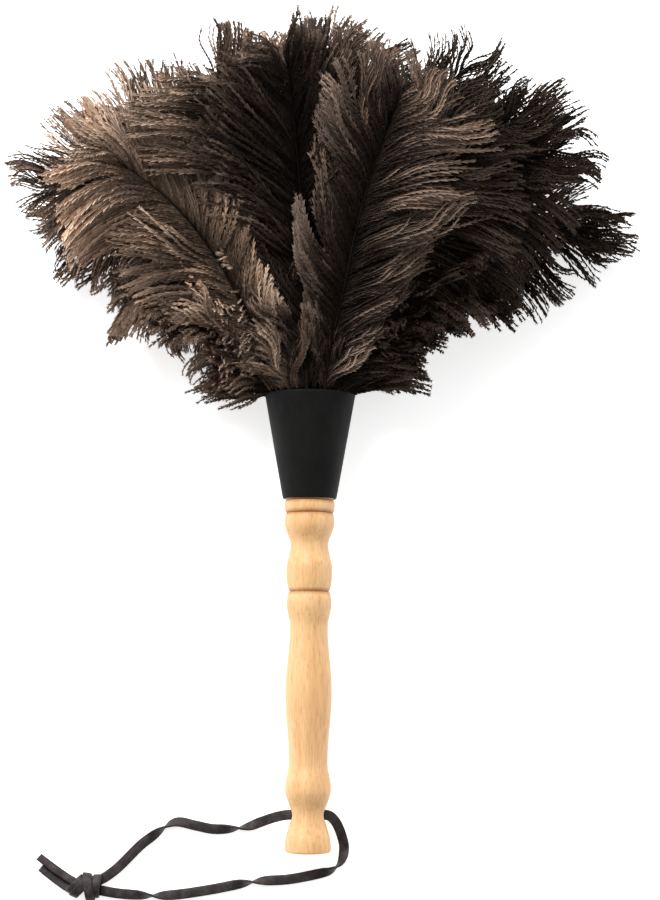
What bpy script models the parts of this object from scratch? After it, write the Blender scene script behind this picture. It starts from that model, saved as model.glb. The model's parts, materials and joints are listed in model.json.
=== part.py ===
"""Feather duster with a turned handle and a leather lace, lying on a level surface.

Units are metres and +Z is up.  +Y runs from the handle's butt to the feather head, and +X is to
the right when the head points away.  The duster rests on its butt and on its lowest feathers, so
the handle's axis rises a little towards the head.

"along" is the distance from the butt on the handle's axis, "side" is the distance to its right
and "rise" is the distance above it, square to the axis.
"""

import math
import random
from collections import namedtuple

import bmesh
import bpy
from mathutils import Vector

# Driving dimensions -----------------------------------------------------------------------

HANDLE_LENGTH = 0.1657  # the part of the handle that shows, butt to sleeve
MOUTH = 0.2160  # along at the sleeve's open end, where the feathers leave it
TILT = math.radians(5.0)  # rise of the handle's axis towards the head
BUTT_RADIUS = 0.0109
BUTT_X = -0.0074  # the butt's centre, from the origin under the middle of the duster
BUTT_Y = -0.1925
BUTT_Z = BUTT_RADIUS * math.cos(TILT)

GAP = 0.0003  # between neighbours that touch on the real object

LACE_HOLE_ALONG = 0.0175
LACE_HOLE_RADIUS = 0.0026
LACE_HOLE_CUT = 0.0400  # length of the cutter, well past both sides of the neck
LACE_RADIUS = 0.0013  # of the plain tube that stands for the flat lace

SLEEVE_LENGTH = 0.0500
SLEEVE_BOTTOM_RADIUS = 0.0127
SLEEVE_MOUTH_RADIUS = 0.0215
SLEEVE_WALL = 0.0010
SLEEVE_EDGE = 0.0003  # the wall's outer corners are broken by this much
SLEEVE_BOTTOM = MOUTH - SLEEVE_LENGTH

SEAT_END = 0.1780  # the wide seat inside the sleeve ends here
SPIGOT_RADIUS = 0.0052
SPIGOT_END = 0.2000
SPIGOT_EDGE = 0.0010  # chamfer at its end

QUILL_RUN = 0.0260  # length of each quill inside the sleeve
QUILL_HALF_WIDTH = 0.0011
BLADE_THICKNESS = 0.0012
BLADE_HALF_WIDTH = 0.0330
BLADE_CLOSING = 0.86  # 1 would bring the blade's tip to a point
BLADE_FULLNESS = 0.8  # below 1 the blade is widest nearer to the mouth
BLADE_ROWS = 9
BLADE_COLUMNS = 4

BINDING_ALONG = 0.1960  # middle of the thread that ties each ring of quills
BINDING_WIDTH = 0.0050
BINDING_THICKNESS = 0.0008

# Turning of the handle from the butt to the sleeve: along, radius, and the curve that leads up to
# each point.  "swell" leaves and arrives level, "crest" leaves steeply and arrives level, and
# "fall" leaves level and arrives steeply, which makes the sharp grooves.
HANDLE_TURNING = (
    (0.0000, 0.0101, "line"),
    (0.0010, 0.0109, "crest"),
    (0.0028, 0.0109, "line"),
    (0.0175, 0.0080, "swell"),
    (0.0295, 0.0109, "swell"),
    (0.0420, 0.0092, "swell"),
    (0.0750, 0.0110, "swell"),
    (0.1057, 0.0090, "swell"),
    (0.1166, 0.0106, "swell"),
    (0.1225, 0.0092, "fall"),
    (0.1330, 0.0109, "crest"),
    (0.1444, 0.0090, "swell"),
    (0.1548, 0.0118, "swell"),
    (0.1597, 0.0108, "fall"),
    (0.1628, 0.0119, "crest"),
    (HANDLE_LENGTH, 0.0112, "fall"),
)
CURVE_STEPS = {"line": 1, "crest": 3, "fall": 3, "swell": 5}
HANDLE_FACETS = 28  # round the axis
SLEEVE_FACETS = 32
BINDING_FACETS = 28

# Rings of feathers from the middle outwards.  The levels say how far the even and the odd
# feathers of a ring spread, from 0 for upright to 1 for the lowest ones at the sides.  From the
# overlap distance on, the blades of a ring are wide enough to lie over their neighbours.
# Each letter of the tones is one feather: dark, brown or taupe.
Ring = namedtuple("Ring", "name tones end_radius mouth_radius levels length first_angle overlap")
RINGS = (
    Ring("core", "dbdbdb", 0.0063, 0.0065, (0.00, 0.15), 0.174, 20.0, 0.085),
    Ring("inner", "dbbddbdbdb", 0.0089, 0.0102, (0.30, 0.42), 0.174, 8.0, 0.070),
    Ring("middle", "bdbdbdbdbbdd", 0.0115, 0.0139, (0.54, 0.68), 0.173, 54.0, 0.066),
    Ring("outer", "ddbtbbdbdbbddd", 0.0141, 0.0176, (0.82, 1.00), 0.172, 69.0, 0.060),
)
LEAN_UP = (math.radians(8.0), math.radians(48.0))  # of the upper feathers, at levels 0 and 1
LEAN_SIDE = (math.radians(20.0), math.radians(120.0))  # of the feathers at the sides
BEND_LENGTH = 0.190  # a feather reaches its full lean this far from the mouth
FLOOR_SHARE = (0.30, 1.02)  # how near to the floor the lowest feathers of a level lie
SETTLE_START = 0.050  # distance from the mouth where the floor has its full effect
FREE_DEPTH = 0.200
OVERLAP_GROWTH = 0.040
BLADE_SHARE = (0.38, 0.80)  # most of the ring's spacing that half a blade takes, before and after
RIGHT_GROWTH = 0.05  # feathers on the right are longer by this share, and on the left shorter

# Route of each strand of the lace, from the middle of its hole to the knot, measured from the
# point on the floor below the butt.
LACE_LEFT = (
    (-0.0002, 0.0174, 0.0123),
    (-0.0060, 0.0174, 0.0123),
    (-0.0105, 0.0172, 0.0118),
    (-0.0160, 0.0160, 0.0085),
    (-0.0225, 0.0138, 0.0040),
    (-0.0300, 0.0113, 0.0017),
    (-0.0437, 0.0104, 0.0016),
    (-0.0530, 0.0120, 0.0016),
    (-0.0616, 0.0137, 0.0016),
    (-0.0678, 0.0113, 0.0016),
    (-0.0740, 0.0068, 0.0016),
    (-0.0796, 0.0024, 0.0016),
    (-0.0890, -0.0071, 0.0016),
    (-0.0948, -0.0117, 0.0018),
    (-0.0984, -0.0137, 0.0024),
)
LACE_RIGHT = (
    (0.0002, 0.0174, 0.0123),
    (0.0060, 0.0174, 0.0123),
    (0.0100, 0.0170, 0.0118),
    (0.0132, 0.0140, 0.0085),
    (0.0158, 0.0085, 0.0040),
    (0.0173, 0.0020, 0.0017),
    (0.0160, -0.0045, 0.0016),
    (0.0120, -0.0082, 0.0016),
    (0.0068, -0.0100, 0.0016),
    (-0.0088, -0.0130, 0.0016),
    (-0.0258, -0.0142, 0.0016),
    (-0.0456, -0.0179, 0.0016),
    (-0.0616, -0.0203, 0.0016),
    (-0.0730, -0.0208, 0.0016),
    (-0.0880, -0.0200, 0.0018),
    (-0.0982, -0.0184, 0.0024),
)
TAIL_LONG = (
    (-0.1118, -0.0135, 0.0024),
    (-0.1172, -0.0100, 0.0018),
    (-0.1222, -0.0065, 0.0016),
    (-0.1272, -0.0028, 0.0016),
)
TAIL_SHORT = (
    (-0.1120, -0.0174, 0.0024),
    (-0.1172, -0.0146, 0.0018),
    (-0.1218, -0.0112, 0.0016),
    (-0.1262, -0.0078, 0.0016),
)
LACE_SPACING = 0.0042  # between the points of a tube
KNOT_CENTRE = (-0.1050, -0.0165, 0.0036)
KNOT_HALF_SIZE = (0.0062, 0.0056, 0.0035)

WOOD = ("beech", (0.80, 0.58, 0.35), 0.45)
BLACK = ("black_sleeve", (0.030, 0.032, 0.031), 0.70)
THREAD = ("thread", (0.55, 0.50, 0.42), 0.90)
LEATHER = ("lace_leather", (0.060, 0.042, 0.040), 0.60)
PLUMES = {
    "t": ("plume_taupe", (0.180, 0.135, 0.105), 0.90),
    "b": ("plume_brown", (0.085, 0.062, 0.050), 0.90),
    "d": ("plume_dark", (0.030, 0.023, 0.020), 0.90),
}


# Helpers ----------------------------------------------------------------------------------


def mix(low, high, share):
    return low + (high - low) * share


def smooth_step(value):
    value = min(1.0, max(0.0, value))
    return value * value * (3.0 - 2.0 * value)


def axis_point(side, along, rise):
    """World point at these distances from the handle's axis and butt."""
    return Vector(
        (
            BUTT_X + side,
            BUTT_Y + along * math.cos(TILT) - rise * math.sin(TILT),
            BUTT_Z + along * math.sin(TILT) + rise * math.cos(TILT),
        )
    )


def clear_scene():
    for old in list(bpy.data.objects):
        bpy.data.objects.remove(old, do_unlink=True)


def make_collection(name):
    collection = bpy.data.collections.new(name)
    bpy.context.scene.collection.children.link(collection)
    return collection


def make_material(name, colour, roughness):
    if name in bpy.data.materials:
        return bpy.data.materials[name]
    material = bpy.data.materials.new(name)
    material.use_nodes = True
    shader = material.node_tree.nodes["Principled BSDF"]
    shader.inputs["Base Color"].default_value = (*colour, 1.0)
    shader.inputs["Roughness"].default_value = roughness
    shader.inputs["Metallic"].default_value = 0.0
    material.diffuse_color = (*colour, 1.0)
    return material


def add_object(name, data, collection, finish):
    piece = bpy.data.objects.new(name, data)
    collection.objects.link(piece)
    data.materials.append(make_material(*finish))
    return piece


def align_with_handle(piece):
    """Put the piece's own Z axis on the handle's axis, with its origin at the butt."""
    piece.location = axis_point(0.0, 0.0, 0.0)
    piece.rotation_euler = (TILT - math.pi / 2.0, 0.0, 0.0)


def turned(name, outline, closed, steps, collection, finish):
    """Revolve an outline of (along, radius) points, listed from the head end down, about the axis."""
    mesh = bpy.data.meshes.new(name)
    points = [(radius, 0.0, along) for along, radius in outline]
    edges = [(index, index + 1) for index in range(len(points) - 1)]
    if closed:
        edges.append((len(points) - 1, 0))
    mesh.from_pydata(points, edges, [])
    piece = add_object(name, mesh, collection, finish)
    align_with_handle(piece)
    screw = piece.modifiers.new("turn", "SCREW")
    screw.axis = "Z"
    screw.steps = steps
    screw.render_steps = steps
    screw.use_merge_vertices = True
    screw.merge_threshold = 0.00001
    return piece


# Handle -----------------------------------------------------------------------------------


def curve_share(kind, share):
    """How far the radius has changed when this share of a turned stretch is passed."""
    if kind == "swell":
        return (1.0 - math.cos(math.pi * share)) / 2.0
    if kind == "crest":
        return math.sqrt(1.0 - (1.0 - share) ** 2)
    if kind == "fall":
        return 1.0 - math.sqrt(1.0 - share**2)
    return share


def turning_outline():
    """The outline that shows, from the butt to the sleeve."""
    outline = [HANDLE_TURNING[0][:2]]
    for start, end in zip(HANDLE_TURNING, HANDLE_TURNING[1:]):
        kind = end[2]
        steps = CURVE_STEPS[kind]
        for step in range(1, steps + 1):
            share = step / steps
            along = mix(start[0], end[0], share)
            radius = mix(start[1], end[1], curve_share(kind, share))
            outline.append((along, radius))
    return outline


def sleeve_radius(along):
    """Outer radius of the sleeve's cone."""
    share = (along - SLEEVE_BOTTOM) / SLEEVE_LENGTH
    return mix(SLEEVE_BOTTOM_RADIUS, SLEEVE_MOUTH_RADIUS, share)


def seat_outline():
    """The hidden end: a cone that the sleeve is glued to, then the spigot."""
    fit = SLEEVE_WALL + GAP
    return [
        (SLEEVE_BOTTOM, sleeve_radius(SLEEVE_BOTTOM) - fit),
        (SEAT_END, sleeve_radius(SEAT_END) - fit),
        (SEAT_END, SPIGOT_RADIUS),
        (SPIGOT_END - SPIGOT_EDGE, SPIGOT_RADIUS),
        (SPIGOT_END, SPIGOT_RADIUS - SPIGOT_EDGE),
        (SPIGOT_END, 0.0),
    ]


def make_lace_hole_cutter(cutters):
    bpy.ops.mesh.primitive_cylinder_add(
        vertices=16,
        radius=LACE_HOLE_RADIUS,
        depth=LACE_HOLE_CUT,
        location=axis_point(0.0, LACE_HOLE_ALONG, 0.0),
        rotation=(0.0, math.pi / 2.0, 0.0),
    )
    cutter = bpy.context.active_object
    cutter.name = "lace_hole_cutter"
    for holder in list(cutter.users_collection):
        holder.objects.unlink(cutter)
    cutters.objects.link(cutter)
    cutter.hide_render = True
    cutter.display_type = "WIRE"
    return cutter


def make_handle(parts, cutters):
    outline = [(0.0, 0.0)] + turning_outline() + seat_outline()
    handle = turned("handle", list(reversed(outline)), False, HANDLE_FACETS, parts, WOOD)
    hole = handle.modifiers.new("lace_hole", "BOOLEAN")
    hole.operation = "DIFFERENCE"
    hole.solver = "EXACT"
    hole.object = make_lace_hole_cutter(cutters)


# Sleeve and bindings ----------------------------------------------------------------------


def make_sleeve(parts):
    bottom = SLEEVE_BOTTOM + GAP
    outline = [
        (MOUTH, SLEEVE_MOUTH_RADIUS - SLEEVE_EDGE),
        (MOUTH - SLEEVE_EDGE, SLEEVE_MOUTH_RADIUS),
        (bottom + SLEEVE_EDGE, sleeve_radius(bottom + SLEEVE_EDGE)),
        (bottom, sleeve_radius(bottom) - SLEEVE_EDGE),
        (bottom, sleeve_radius(bottom) - SLEEVE_WALL),
        (MOUTH, SLEEVE_MOUTH_RADIUS - SLEEVE_WALL),
    ]
    turned("sleeve", outline, True, SLEEVE_FACETS, parts, BLACK)


def quill_radius(ring, along):
    """Radius of a ring's quills inside the sleeve."""
    share = (along - MOUTH + QUILL_RUN) / QUILL_RUN
    return mix(ring.end_radius, ring.mouth_radius, share)


def make_binding(ring, parts):
    top = BINDING_ALONG + BINDING_WIDTH / 2.0
    bottom = BINDING_ALONG - BINDING_WIDTH / 2.0
    clear = BLADE_THICKNESS / 2.0 + GAP
    inner_top = quill_radius(ring, top) + clear
    inner_bottom = quill_radius(ring, bottom) + clear
    outline = [
        (top, inner_top + BINDING_THICKNESS),
        (bottom, inner_bottom + BINDING_THICKNESS),
        (bottom, inner_bottom),
        (top, inner_top),
    ]
    turned(f"binding_{ring.name}", outline, True, BINDING_FACETS, parts, THREAD)


# Feathers ---------------------------------------------------------------------------------


def feather_reach(ring, level, distance, angle):
    """Distance from the axis and along it, this far up a feather's curve from the mouth.

    Inside the sleeve the quill is straight.  Outside, the feather follows a circular arc in its
    own half-plane through the axis, which bends more at the sides than at the top.
    """
    if distance <= 0.0:
        return quill_radius(ring, MOUTH + distance), MOUTH + distance
    start = math.atan((ring.mouth_radius - ring.end_radius) / QUILL_RUN)
    upright = mix(*LEAN_UP, level)
    sideways = mix(*LEAN_SIDE, level)
    full = mix(upright, sideways, math.cos(angle) ** 2)
    bend = (full - start) / BEND_LENGTH
    lean = start + bend * distance
    radius = ring.mouth_radius + (math.cos(start) - math.cos(lean)) / bend
    along = MOUTH + (math.sin(lean) - math.sin(start)) / bend
    return radius, along


def settle(rise, along, distance, level):
    """Flatten what lies below the axis, so that it rests on the floor and not through it."""
    if rise >= 0.0:
        return rise
    room = (BUTT_Z + along * math.sin(TILT)) / math.cos(TILT) - BLADE_THICKNESS / 2.0
    depth = mix(FREE_DEPTH, room * mix(*FLOOR_SHARE, level), smooth_step(distance / SETTLE_START))
    return -depth * math.tanh(-rise / depth)


def feather_point(ring, level, distance, angle):
    radius, along = feather_reach(ring, level, distance, angle)
    rise = settle(radius * math.sin(angle), along, distance, level)
    return axis_point(radius * math.cos(angle), along, rise)


def blade_half_angle(ring, level, distance, length, angle):
    """Half of the angle that the blade covers round the axis, clear of its neighbours."""
    radius = feather_reach(ring, level, distance, angle)[0]
    if distance <= 0.0:
        return QUILL_HALF_WIDTH / radius
    swell = math.sin(math.pi * BLADE_CLOSING * (distance / length) ** BLADE_FULLNESS)
    half_width = mix(QUILL_HALF_WIDTH, BLADE_HALF_WIDTH, swell)
    spacing = 2.0 * math.pi / len(ring.tones)
    share = mix(*BLADE_SHARE, smooth_step((distance - ring.overlap) / OVERLAP_GROWTH))
    return min(half_width / radius, spacing * share)


def make_feather(name, ring, level, angle, length, finish, parts):
    """One feather as a thin curved blade: a grid bent to shape and given its thickness."""
    mesh = bpy.data.meshes.new(name)
    grid = bmesh.new()
    bmesh.ops.create_grid(grid, x_segments=BLADE_COLUMNS, y_segments=BLADE_ROWS, size=1.0)
    for vertex in grid.verts:
        distance = mix(-QUILL_RUN, length, (vertex.co.y + 1.0) / 2.0)
        half_angle = blade_half_angle(ring, level, distance, length, angle)
        vertex.co = feather_point(ring, level, distance, angle - vertex.co.x * half_angle)
    grid.to_mesh(mesh)
    grid.free()
    feather = add_object(name, mesh, parts, finish)
    thickness = feather.modifiers.new("thickness", "SOLIDIFY")
    thickness.thickness = BLADE_THICKNESS
    thickness.offset = 0.0


def make_feathers(parts):
    chance = random.Random(7)
    for ring in RINGS:
        spacing = 2.0 * math.pi / len(ring.tones)
        for index, tone in enumerate(ring.tones):
            angle = math.radians(ring.first_angle) + index * spacing
            angle += chance.uniform(-0.06, 0.06) * spacing
            length = ring.length * chance.uniform(0.94, 1.0)
            length *= 1.0 + RIGHT_GROWTH * math.cos(angle)
            level = ring.levels[index % 2]
            name = f"feather_{ring.name}_{index + 1:02d}"
            make_feather(name, ring, level, angle, length, PLUMES[tone], parts)


# Lace -------------------------------------------------------------------------------------


def spline_point(before, start, end, after, share):
    """Point on the smooth curve from start to end that also heeds the points beside them."""
    return 0.5 * (
        2.0 * start
        + (end - before) * share
        + (2.0 * before - 5.0 * start + 4.0 * end - after) * share**2
        + (3.0 * start - before - 3.0 * end + after) * share**3
    )


def smooth_route(route, spacing):
    """Points about this far apart on one smooth curve through the route's own points."""
    knots = [Vector(point) + Vector((BUTT_X, BUTT_Y, 0.0)) for point in route]
    knots = [2.0 * knots[0] - knots[1]] + knots + [2.0 * knots[-1] - knots[-2]]
    points = [knots[1]]
    for index in range(1, len(knots) - 2):
        before, start, end, after = knots[index - 1 : index + 3]
        steps = max(1, round((end - start).length / spacing))
        for step in range(1, steps + 1):
            points.append(spline_point(before, start, end, after, step / steps))
    return points


def make_lace(name, route, parts):
    points = smooth_route(route, LACE_SPACING)
    curve = bpy.data.curves.new(name, "CURVE")
    curve.dimensions = "3D"
    curve.bevel_depth = LACE_RADIUS
    curve.bevel_resolution = 2
    curve.use_fill_caps = True
    spline = curve.splines.new("POLY")
    spline.points.add(len(points) - 1)
    for target, point in zip(spline.points, points):
        target.co = (*point, 1.0)
    add_object(name, curve, parts, LEATHER)


def make_knot(parts):
    mesh = bpy.data.meshes.new("lace_knot")
    ball = bmesh.new()
    bmesh.ops.create_uvsphere(ball, u_segments=16, v_segments=10, radius=1.0)
    for vertex in ball.verts:
        vertex.co = [value * half for value, half in zip(vertex.co, KNOT_HALF_SIZE)]
    ball.to_mesh(mesh)
    ball.free()
    mesh.shade_smooth()
    knot = add_object("lace_knot", mesh, parts, LEATHER)
    knot.location = Vector(KNOT_CENTRE) + Vector((BUTT_X, BUTT_Y, 0.0))


# Whole duster -----------------------------------------------------------------------------


def main():
    clear_scene()
    parts = make_collection("feather_duster")
    cutters = make_collection("cutters")
    make_handle(parts, cutters)
    make_sleeve(parts)
    for ring in RINGS:
        make_binding(ring, parts)
    make_feathers(parts)
    make_lace("lace_left", LACE_LEFT, parts)
    make_lace("lace_right", LACE_RIGHT, parts)
    make_lace("lace_tail_long", TAIL_LONG, parts)
    make_lace("lace_tail_short", TAIL_SHORT, parts)
    make_knot(parts)


main()
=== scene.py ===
"""Looks of the feather duster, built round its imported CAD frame.

Lengths are metres in the frame's own axes.  "along" is the distance from the handle's butt on the
handle's axis, "side" is the distance to the right of the axis and "rise" the distance above it.
A feather is a bundle of barbs on a shaft.  Its barbs are laid out flat first, as a distance along
the shaft and a distance across it, and are then wrapped on the curved shell that the feather lies
on in the head.
"""

import json
import math
import random
from collections import namedtuple

import bpy
import numpy as np
from mathutils import Matrix, Vector


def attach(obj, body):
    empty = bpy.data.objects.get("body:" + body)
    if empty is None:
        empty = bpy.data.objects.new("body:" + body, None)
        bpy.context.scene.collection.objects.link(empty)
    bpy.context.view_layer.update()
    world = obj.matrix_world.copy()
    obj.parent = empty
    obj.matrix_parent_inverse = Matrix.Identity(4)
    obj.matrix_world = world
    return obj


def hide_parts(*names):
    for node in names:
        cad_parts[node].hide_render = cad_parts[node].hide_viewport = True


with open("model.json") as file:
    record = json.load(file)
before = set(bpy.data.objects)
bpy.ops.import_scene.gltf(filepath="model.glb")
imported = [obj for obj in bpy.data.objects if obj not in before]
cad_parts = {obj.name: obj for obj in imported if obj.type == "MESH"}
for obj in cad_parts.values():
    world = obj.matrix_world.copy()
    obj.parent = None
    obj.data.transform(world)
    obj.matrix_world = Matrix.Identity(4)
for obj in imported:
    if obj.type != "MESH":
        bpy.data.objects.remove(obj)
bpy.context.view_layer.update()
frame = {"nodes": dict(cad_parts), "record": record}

# Sizes that the CAD also has ---

BUTT = Vector(frame["record"]["mounts"][0]["pos_m"])
TILT = math.asin(-frame["record"]["mounts"][0]["axis"][2])
SLOT_OF = {part["node"]: part["material_slot"] for part in frame["record"]["subparts"]}

HANDLE_LENGTH = 0.1657
MOUTH = 0.2160  # along at the sleeve's open end, where the feathers leave it
SLEEVE_BOTTOM = 0.1663
SLEEVE_BOTTOM_RADIUS = 0.0127
SLEEVE_MOUTH_RADIUS = 0.0215
SLEEVE_WALL = 0.0010
SEAT_END = 0.1780
SPIGOT_RADIUS = 0.0052
SPIGOT_END = 0.2000
LACE_HOLE_ALONG = 0.0175
LACE_HOLE_RADIUS = 0.0026

# Turning of the handle: along, radius, and the curve that leads up to each point.
HANDLE_TURNING = (
    (0.0000, 0.0101, "line"),
    (0.0010, 0.0109, "crest"),
    (0.0028, 0.0109, "line"),
    (0.0175, 0.0080, "swell"),
    (0.0295, 0.0109, "swell"),
    (0.0420, 0.0092, "swell"),
    (0.0750, 0.0110, "swell"),
    (0.1057, 0.0090, "swell"),
    (0.1166, 0.0106, "swell"),
    (0.1225, 0.0092, "fall"),
    (0.1330, 0.0109, "crest"),
    (0.1444, 0.0090, "swell"),
    (0.1548, 0.0118, "swell"),
    (0.1597, 0.0108, "fall"),
    (0.1628, 0.0119, "crest"),
    (HANDLE_LENGTH, 0.0112, "fall"),
)
TURNING_STEPS = 12
GROOVE_SHADE_REACH = 0.0026  # how far from a groove's bottom its painted shade reaches
GROOVES = [along for along, _, curve in HANDLE_TURNING if curve == "fall"]

# The rings of feathers round the spigot.  The feathers of a ring lie in turn on two shells of the
# head, whose levels run from 0 for the innermost shell to 1 for the outermost.
Ring = namedtuple("Ring", "name count end_radius mouth_radius levels length first_angle")
RINGS = (
    Ring("core", 6, 0.0063, 0.0065, (0.00, 0.15), 0.174, 20.0),
    Ring("inner", 10, 0.0089, 0.0102, (0.30, 0.42), 0.174, 8.0),
    Ring("middle", 12, 0.0115, 0.0139, (0.54, 0.68), 0.173, 54.0),
    Ring("outer", 14, 0.0141, 0.0176, (0.82, 1.00), 0.172, 69.0),
)
FEATHER_SEED = 7
ANGLE_CHANCE = 0.06  # share of the spacing by which a feather strays from its place in the ring
SHORTEST = 0.94  # share of the ring's length
RIGHT_GROWTH = 0.05  # how much longer the feathers on the right are
QUILL_RUN = 0.0260  # length of a feather inside the sleeve
BEND_LENGTH = 0.190  # length over which a feather reaches its full lean away from the axis
LEAN_UP = (math.radians(8.0), math.radians(48.0))  # at levels 0 and 1, above and below the axis
LEAN_SIDE = (math.radians(20.0), math.radians(120.0))  # and beside it
FLOOR_SHARE = (0.30, 1.02)  # share of the room under the axis that levels 0 and 1 sink into
FLOOR_ROOM = 0.0006  # that they leave above the floor
SETTLE_START = 0.050  # distance from the mouth at which that begins to hold
FREE_DEPTH = 0.200  # depth that does no flattening, for the quills

# The lace's line on each side, from the middle of the hole to the knot, and the tails beyond it,
# as distances from the point on the floor under the butt.
LACE_LEFT = (
    (-0.0002, 0.0174, 0.0123),
    (-0.0060, 0.0174, 0.0123),
    (-0.0105, 0.0172, 0.0118),
    (-0.0160, 0.0160, 0.0085),
    (-0.0225, 0.0138, 0.0040),
    (-0.0300, 0.0113, 0.0017),
    (-0.0437, 0.0104, 0.0016),
    (-0.0530, 0.0120, 0.0016),
    (-0.0616, 0.0137, 0.0016),
    (-0.0678, 0.0113, 0.0016),
    (-0.0740, 0.0068, 0.0016),
    (-0.0796, 0.0024, 0.0016),
    (-0.0890, -0.0071, 0.0016),
    (-0.0948, -0.0117, 0.0018),
    (-0.0984, -0.0137, 0.0024),
)
LACE_RIGHT = (
    (0.0002, 0.0174, 0.0123),
    (0.0060, 0.0174, 0.0123),
    (0.0100, 0.0170, 0.0118),
    (0.0132, 0.0140, 0.0085),
    (0.0158, 0.0085, 0.0040),
    (0.0173, 0.0020, 0.0017),
    (0.0160, -0.0045, 0.0016),
    (0.0120, -0.0082, 0.0016),
    (0.0068, -0.0100, 0.0016),
    (-0.0088, -0.0130, 0.0016),
    (-0.0258, -0.0142, 0.0016),
    (-0.0456, -0.0179, 0.0016),
    (-0.0616, -0.0203, 0.0016),
    (-0.0730, -0.0208, 0.0016),
    (-0.0880, -0.0200, 0.0018),
    (-0.0982, -0.0184, 0.0024),
)
TAIL_LONG = (
    (-0.1118, -0.0135, 0.0024),
    (-0.1172, -0.0100, 0.0018),
    (-0.1222, -0.0065, 0.0016),
    (-0.1272, -0.0028, 0.0016),
)
TAIL_SHORT = (
    (-0.1120, -0.0174, 0.0024),
    (-0.1172, -0.0146, 0.0018),
    (-0.1218, -0.0112, 0.0016),
    (-0.1262, -0.0078, 0.0016),
)

# Fine shape of the handle and the sleeve ---

SEAT_PLAY = 0.0003  # between the handle's seat and the sleeve's inside
SPIGOT_BEVEL = 0.001
SHARP_ANGLE = math.radians(50.0)
HANDLE_SEGMENTS = 96
SLEEVE_SEGMENTS = 128
SLEEVE_STEPS = 40
RIM_STEPS = 8
HOLE_SEGMENTS = 40
HOLE_STEPS = 12
HOLE_HALF_RUN = 0.0095  # the cross hole's profile is drawn this far to each side
HOLE_FLARE_START = 0.0055  # distance from the axis at which the hole begins to open out
HOLE_FLARE_RUN = 0.0030
HOLE_FLARE = 0.0012  # how much wider it is at the end of that run
CUTTER_REACH = 0.020
CUTTER_END_RADIUS = LACE_HOLE_RADIUS * 2.4

# Fine shape of the lace ---

LACE_WIDTH = 0.0048
LACE_THICKNESS = 0.0012
LACE_CORNER = LACE_THICKNESS * 0.42
LACE_STEP = 0.0010
FLOOR_GAP = 0.0004
TWIST_RUN = 0.024  # length over which the flat lace makes half a turn
TWISTS_LEFT = ((-0.0324, 0.0111), (-0.0683, 0.0114))  # where it stands on edge, from the butt
TWISTS_RIGHT = ((0.0142, -0.0070), (-0.0252, -0.0147), (-0.0733, -0.0202))
TAIL_ROOT = (-0.1060, -0.0160, 0.0034)  # where the tails come together inside the knot
TAIL_LONG_TILT = 46.0  # degrees from lying flat
TAIL_LONG_WIDTH = 0.0044
TAIL_SHORT_TILT = 24.0
TAIL_SHORT_WIDTH = 0.0042

# Each turn of the lace in the knot: its centre from the point under the butt, its half sizes
# across the lace and upwards, how its plane is turned about the vertical, and its slant.
KnotTurn = namedtuple("KnotTurn", "centre half_across half_up heading slant")
KNOT_TURNS = (
    KnotTurn((-0.1088, -0.0157, 0.0040), 0.0048, 0.0031, 30.0, 14.0),
    KnotTurn((-0.1062, -0.0163, 0.0045), 0.0057, 0.0036, 22.0, 20.0),
    KnotTurn((-0.1030, -0.0168, 0.0048), 0.0060, 0.0040, 8.0, -16.0),
    KnotTurn((-0.0996, -0.0164, 0.0043), 0.0050, 0.0034, -2.0, 10.0),
)
KNOT_WIDTH = 0.0042
KNOT_STEPS = 48

# How each feather lies ---

HERO = "feather_outer_01"  # the plume that lies on top of the others
PALE = "feather_outer_04"  # the pale plume that covers the head's left side

# How soon the barbs turn pale, for those that face the head and those that face away from it.
# Numbers under 1 are partly painted shade from the neighbouring plumes and partly each plume's own
# tone.
BLEACH_AND_SHADE = {
    HERO: (1.10, 1.45),
    "feather_outer_02": (0.75, 0.75),
    "feather_outer_03": (0.60, 1.00),
    PALE: (1.05, 0.80),
    "feather_outer_05": (0.85, 0.75),
    "feather_outer_06": (0.75, 0.70),
}

# Paleness of a barb's end by the cosine of the feather's angle, from the left to the right.
PALENESS = ((-0.1, 1.0), (0.6, 0.15))

# How far a feather lies above its own shell, where that isn't left to chance.
RISE = {HERO: 0.0095, PALE: 0.0085, "feather_outer_03": -0.0030, "feather_outer_14": -0.0045}
RISE_CHANCE = 0.0025  # for the others, at most
RISE_CHANGE = 1.7  # radians by which the wave that picks their rise moves on with each feather

# Share of the usual droop of a feather's outer barbs: for two feathers, and on the head's right.
HANG = {HERO: 0.60, PALE: 0.05}
HANG_RIGHT = 0.80
FLATTEN = 0.78  # share of the full twist that would turn every feather's face upwards
INNER_FLATTEN = (0.15, 0.70)  # the same for barbs that face the head, near the mouth and far off
INNER_START = 0.030  # distance from the mouth at which that share begins to grow
INNER_RUN = 0.090  # and the length over which it does
DEEPEST = 0.75  # share of the shell's radius that a barb may dip inwards
OUTWARD_STEP = 0.002  # lift by which the direction out of the shell is found
OUTER_SPREAD = 58.0  # most degrees that a barb strays round the axis, away from the head's top
INNER_SPREAD = 36.0  # and towards it
LEAST_RADIUS = 0.016  # smallest radius by which a barb's distance across is turned into an angle
LEAST_COSINE = 0.2  # of the lean, when a feather is turned about its shaft
SWING = 0.009  # most that a feather's end strays sideways from its shell's line
SWING_CHANGE = 2.4  # radians by which the wave that picks the swing moves on with each feather

# The shaft ends this far before the feather does, by the feather's angle in degrees.
TIP_ROOM = (
    (0.0, 0.013),
    (20.0, 0.022),
    (42.0, 0.052),
    (62.0, 0.034),
    (90.0, 0.021),
    (120.0, 0.021),
    (150.0, 0.014),
    (172.0, 0.007),
    (197.0, 0.020),
    (270.0, 0.020),
    (330.0, 0.009),
    (360.0, 0.013),
)

# Barbs of a feather ---

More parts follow.
